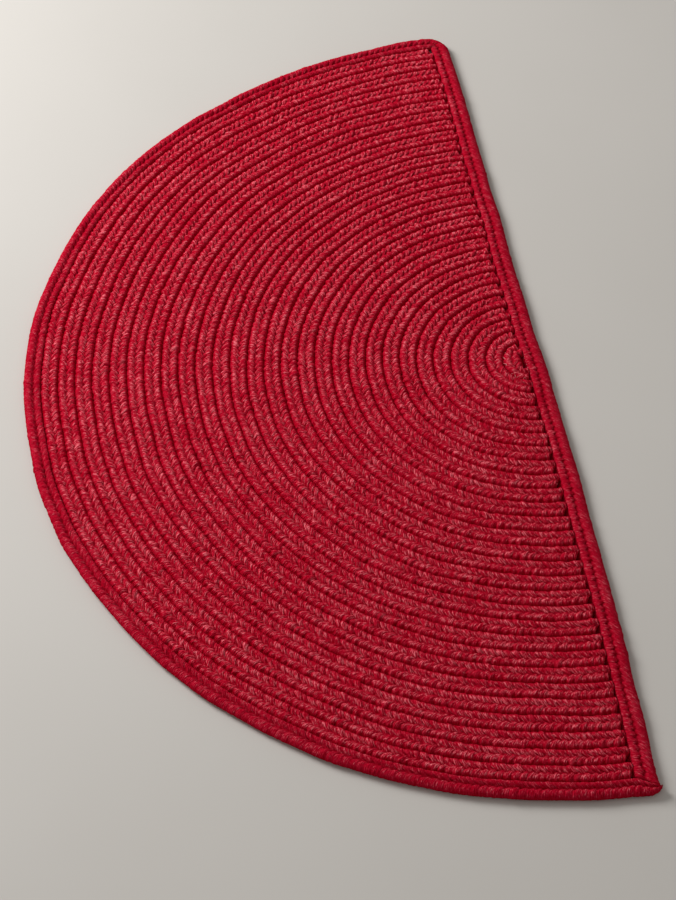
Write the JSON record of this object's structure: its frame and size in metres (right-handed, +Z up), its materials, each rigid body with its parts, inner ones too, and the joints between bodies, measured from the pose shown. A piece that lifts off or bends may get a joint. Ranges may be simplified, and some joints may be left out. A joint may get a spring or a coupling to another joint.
{
  "type": "half-round braided rug",
  "caption": "Half-round rug of flat braid laced in concentric half rounds, with a braid sewn over the straight edge and round the arc.",
  "frame": {"origin": "middle of the bounding box, on the floor under the rug", "axes": "+X along the straight edge towards its rounded corner, +Y from the straight edge towards the arc, +Z up"},
  "size_m": [1.1268, 0.5914, 0.01],
  "materials": {
    "rows_yarn": "matt deep red braided yarn",
    "border_yarn": "matt deep red braided yarn"
  },
  "bodies": {
    "root": {"braided_rows": "rows_yarn", "border_braid": "border_yarn"}
  },
  "joints": []
}
